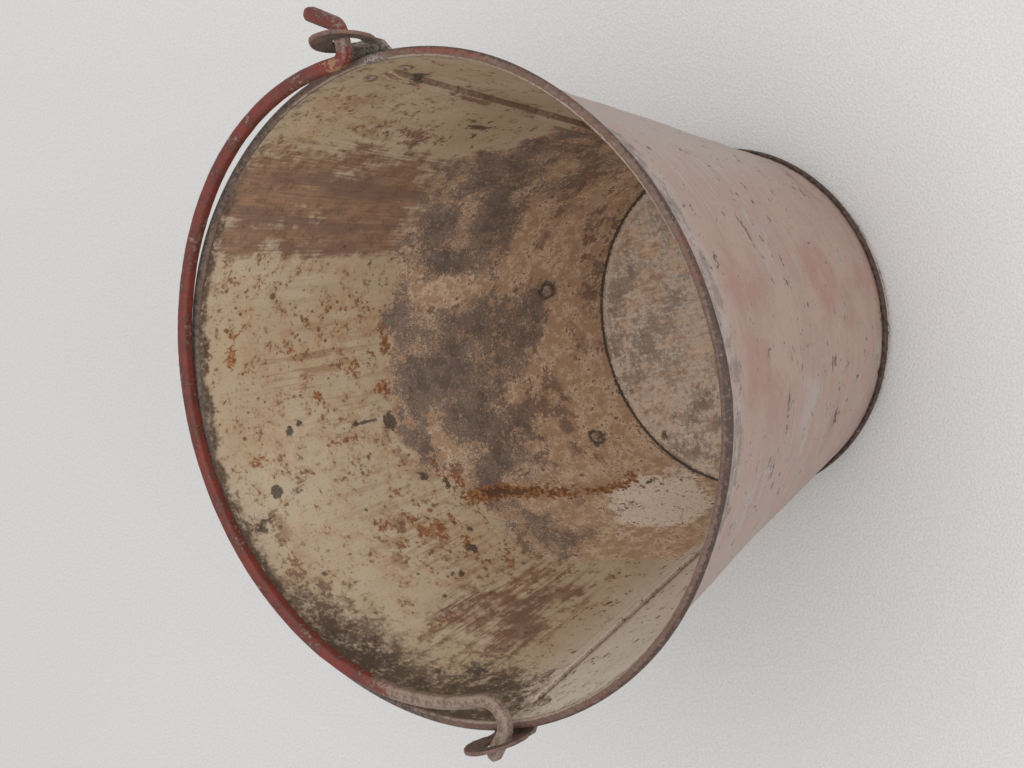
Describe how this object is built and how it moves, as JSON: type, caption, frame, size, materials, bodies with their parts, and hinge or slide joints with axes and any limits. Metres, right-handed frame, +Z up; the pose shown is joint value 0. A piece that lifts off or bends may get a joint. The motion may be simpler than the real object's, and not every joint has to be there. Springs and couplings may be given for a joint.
{
  "type": "sand bucket",
  "caption": "Round tapered sheet-iron sand bucket with lock-seamed wall, wired rim, folded foot, riveted ears, a swinging forged bail and a fixed tipping grip low on the rear wall.",
  "frame": {"origin": "centre of the foot's lower ring, on the floor", "axes": "+Z up along the bucket's axis, +Y towards the left ear, -X towards the folded bail and the tipping grip"},
  "size_m": [0.3102, 0.35, 0.2766],
  "materials": {
    "wall_paint": "faded, chalky and scratched paint over sheet iron, rust-stained inside",
    "bare_iron": "dark rusted iron",
    "ear_iron": "grey-brown worn iron plate",
    "grip_paint": "faded red paint worn at the edges",
    "bail_paint": "worn red paint over forged bar"
  },
  "bodies": {
    "bucket": {"front_sheet": "wall_paint", "rear_sheet": "wall_paint", "rim_wire": "bare_iron", "bottom_disc": "wall_paint", "foot_hoop": "wall_paint", "left_ear": "ear_iron", "right_ear": "ear_iron", "left_ear_rivets": "bare_iron", "right_ear_rivets": "bare_iron", "tipping_grip": "grip_paint", "grip_rivets": "bare_iron"},
    "bail": {"bail": "bail_paint"}
  },
  "joints": [
    {"name": "bail_swing", "type": "hinge", "parent": "bucket", "child": "bail", "pos_m": [0, 0, 0.26164], "axis": [0, 1, 0], "range_deg": [0, 185.2]}
  ]
}
